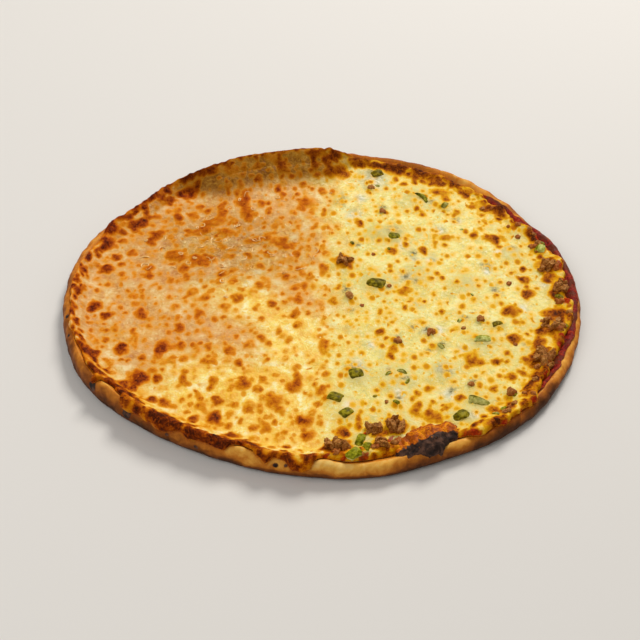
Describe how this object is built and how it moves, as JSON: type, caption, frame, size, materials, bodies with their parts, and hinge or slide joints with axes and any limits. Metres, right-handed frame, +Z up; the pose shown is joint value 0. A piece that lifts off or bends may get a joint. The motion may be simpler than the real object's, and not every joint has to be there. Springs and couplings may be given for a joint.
{
  "type": "cheese pizza",
  "caption": "Round thin-crust pizza baked whole, half plain browned cheese and half cheese over sausage crumbles and green pepper, with a curled back rim and a charred blister in front.",
  "frame": {"origin": "on the flat underside, at the middle of the pizza's bounding box", "axes": "+Z up out of the cheese, +X along the longer axis of the slightly oval disc with the topped half at +X, -Y towards the front with the charred blister"},
  "size_m": [0.3184, 0.2882, 0.0233],
  "materials": {
    "crust": "baked dough, golden tan, darker towards the foot, with charred specks",
    "sauce": "wet tomato sauce, dark red",
    "cheese": "melted cheese, pale yellow with orange-brown browned spots, oily sheen",
    "pepper": "baked green pepper, dark olive skin, pale flesh at the cut edges",
    "sausage": "browned sausage crumble, slightly greasy"
  },
  "bodies": {
    "root": {"crust": "crust", "sauce": "sauce", "cheese": "cheese", "pepper_01": "pepper", "pepper_02": "pepper", "pepper_03": "pepper", "pepper_04": "pepper", "pepper_05": "pepper", "pepper_06": "pepper", "pepper_07": "pepper", "pepper_08": "pepper", "pepper_09": "pepper", "pepper_10": "pepper", "pepper_11": "pepper", "pepper_12": "pepper", "pepper_13": "pepper", "pepper_14": "pepper", "pepper_ring": "pepper", "sausage_01": "sausage", "sausage_02": "sausage", "sausage_03": "sausage", "sausage_04": "sausage", "sausage_05": "sausage", "sausage_06": "sausage", "sausage_07": "sausage", "sausage_08": "sausage", "sausage_09": "sausage"}
  },
  "joints": []
}
